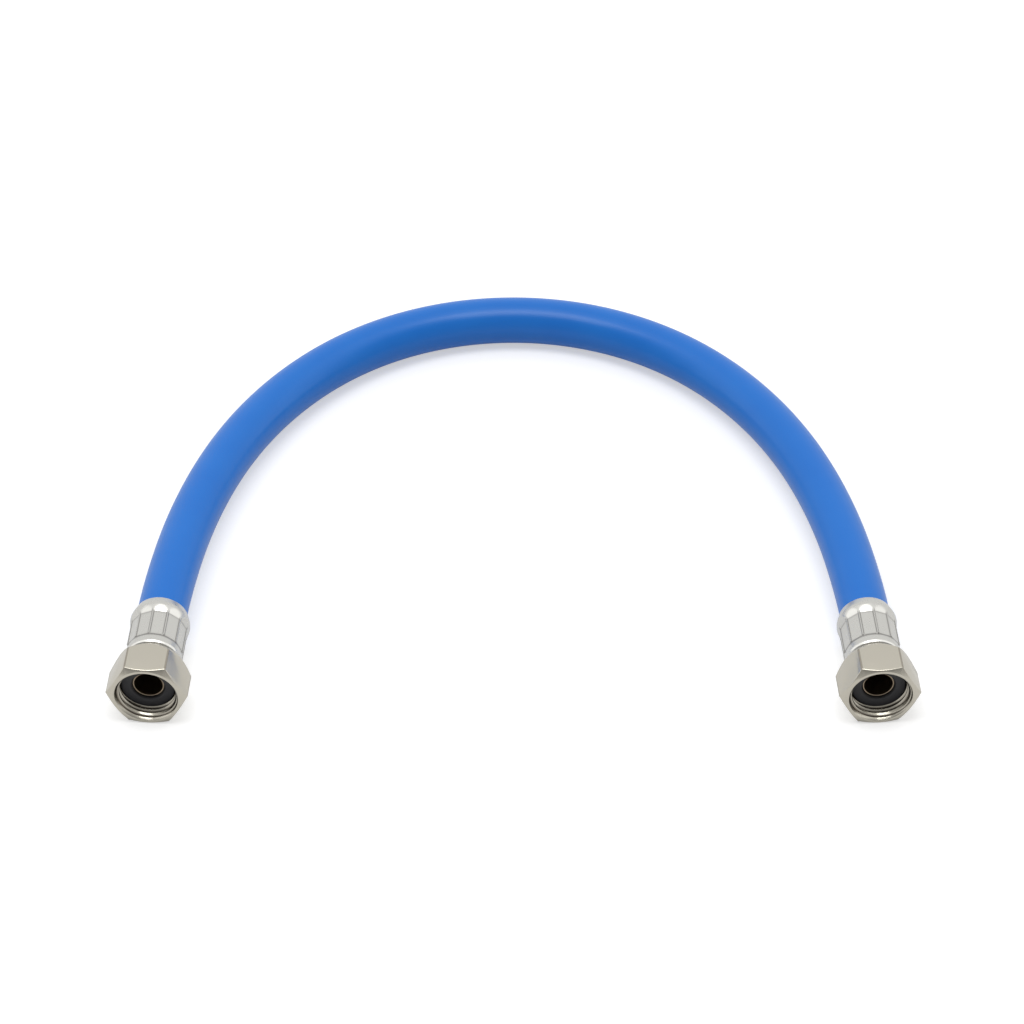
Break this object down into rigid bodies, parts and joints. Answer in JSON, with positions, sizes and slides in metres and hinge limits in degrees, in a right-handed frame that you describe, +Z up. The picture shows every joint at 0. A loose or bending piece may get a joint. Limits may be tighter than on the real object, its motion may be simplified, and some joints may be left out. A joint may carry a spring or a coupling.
{
  "type": "flexible hose",
  "caption": "Short flexible PVC water hose lying in a U, with a crimped ferrule, a hose tail, a flat washer and a swivelling hexagonal union nut on each end.",
  "frame": {"origin": "centre of the bounding box at its base, on the surface the hose lies on", "axes": "+X across the U, from the left fitting to the right one; +Y towards the bend; +Z up"},
  "size_m": [0.272, 0.2164, 0.024],
  "materials": {
    "blue_pvc": "smooth extruded flexible PVC, satin gloss",
    "crimped_aluminium": "bright drawn aluminium",
    "hose_tail_brass": "turned, bare",
    "black_rubber": "moulded, matte",
    "nickel_plated_brass": "nickel plated, satin"
  },
  "bodies": {
    "hose_assembly": {"hose": "blue_pvc", "left_ferrule": "crimped_aluminium", "right_ferrule": "crimped_aluminium", "left_hose_tail": "hose_tail_brass", "right_hose_tail": "hose_tail_brass", "left_washer": "black_rubber", "right_washer": "black_rubber"},
    "left_nut": {"left_union_nut": "nickel_plated_brass"},
    "right_nut": {"right_union_nut": "nickel_plated_brass"}
  },
  "joints": [
    {"name": "left_nut_swivel", "type": "hinge", "parent": "hose_assembly", "child": "left_nut", "pos_m": [-0.12176, -0.09943, 0.012], "axis": [-0.0654, -0.9979, 0], "continuous": true},
    {"name": "right_nut_swivel", "type": "hinge", "parent": "hose_assembly", "child": "right_nut", "pos_m": [0.12176, -0.09943, 0.012], "axis": [0.0654, -0.9979, 0], "continuous": true}
  ]
}
